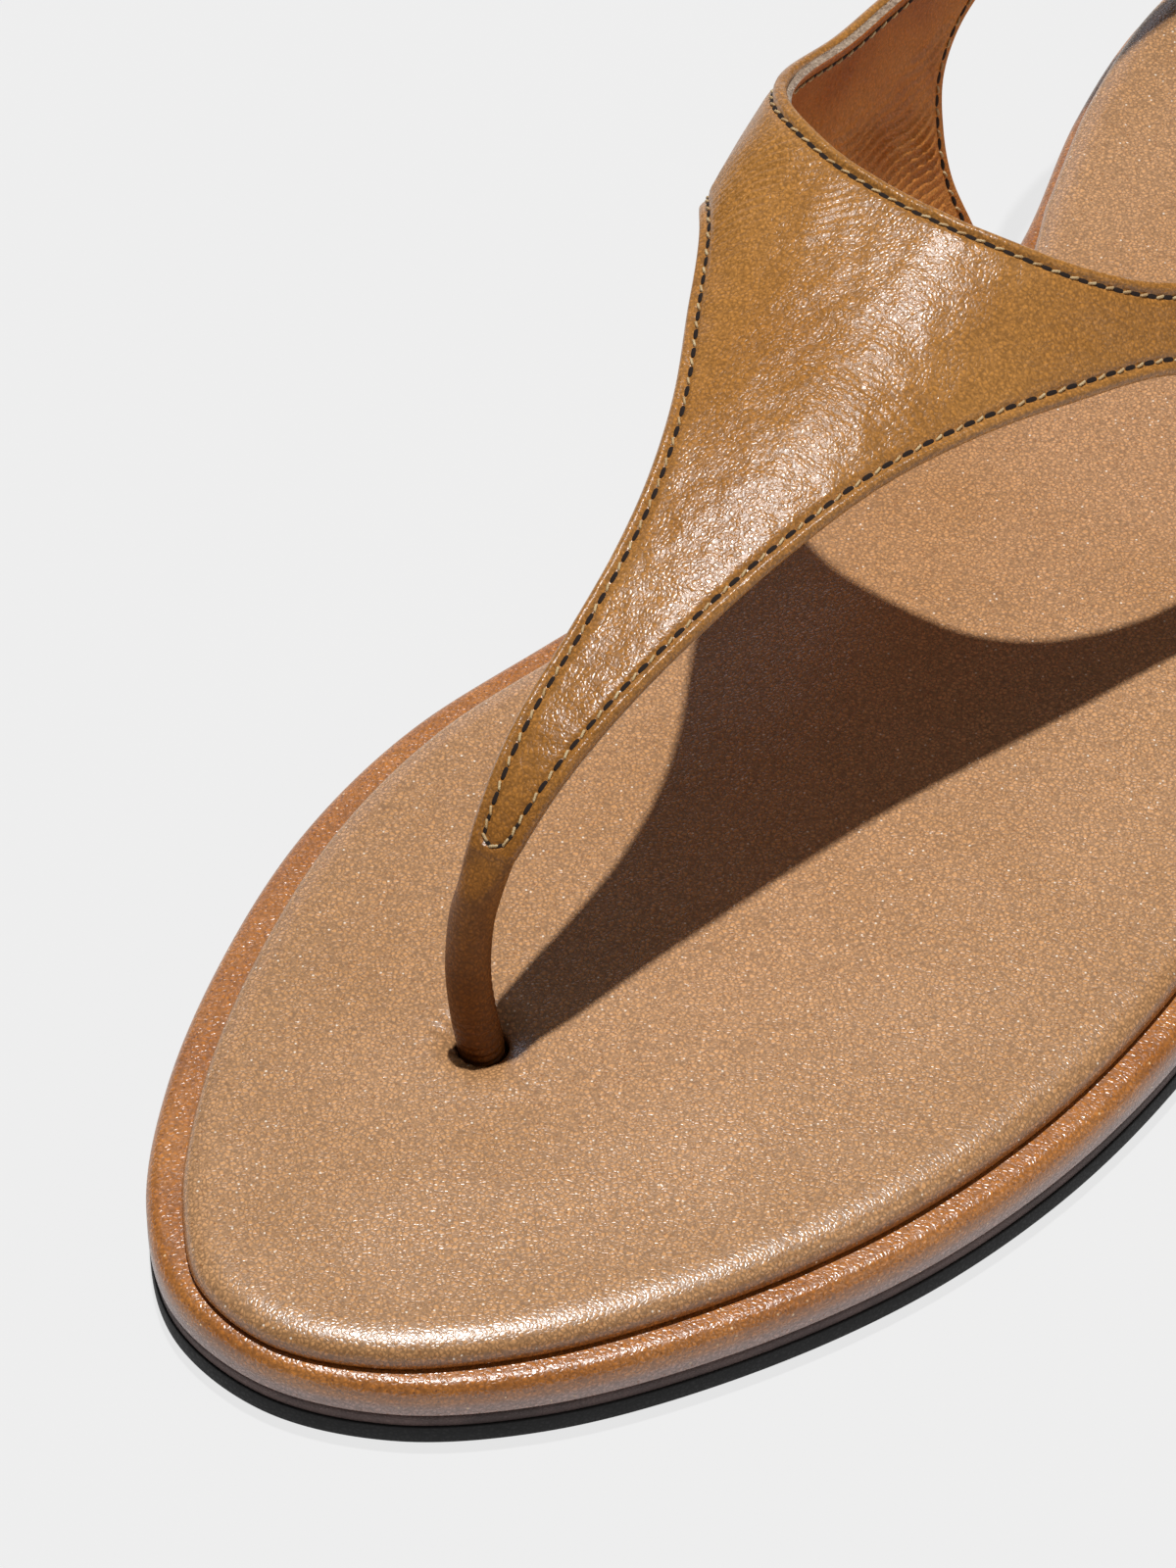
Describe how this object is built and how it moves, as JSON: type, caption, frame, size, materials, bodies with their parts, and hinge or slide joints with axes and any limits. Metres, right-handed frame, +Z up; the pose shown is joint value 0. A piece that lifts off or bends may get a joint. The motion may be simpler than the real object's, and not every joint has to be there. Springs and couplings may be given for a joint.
{
  "type": "toe post sandal",
  "caption": "Flat leather toe post sandal with a T-shaped vamp, side arms, heel strap, padded insole and layered sole; left shoe, stands empty on its sole.",
  "frame": {"origin": "on the floor, under the middle of the sole's box", "axes": "+Z up, toe towards -Y, heel towards +Y, arch side at -X and outer side at +X"},
  "size_m": [0.0879, 0.2511, 0.0599],
  "materials": {
    "outsole_rubber": "matt black moulded rubber",
    "midsole_leather": "dark burnished leather edge",
    "rand_leather": "grained tan leather, soft sheen",
    "insole_leather": "padded fine-grained tan leather, soft sheen",
    "upper_leather": "smooth tan calf leather, soft sheen"
  },
  "bodies": {
    "root": {"outsole": "outsole_rubber", "midsole": "midsole_leather", "rand": "rand_leather", "insole": "insole_leather", "upper": "upper_leather"}
  },
  "joints": []
}
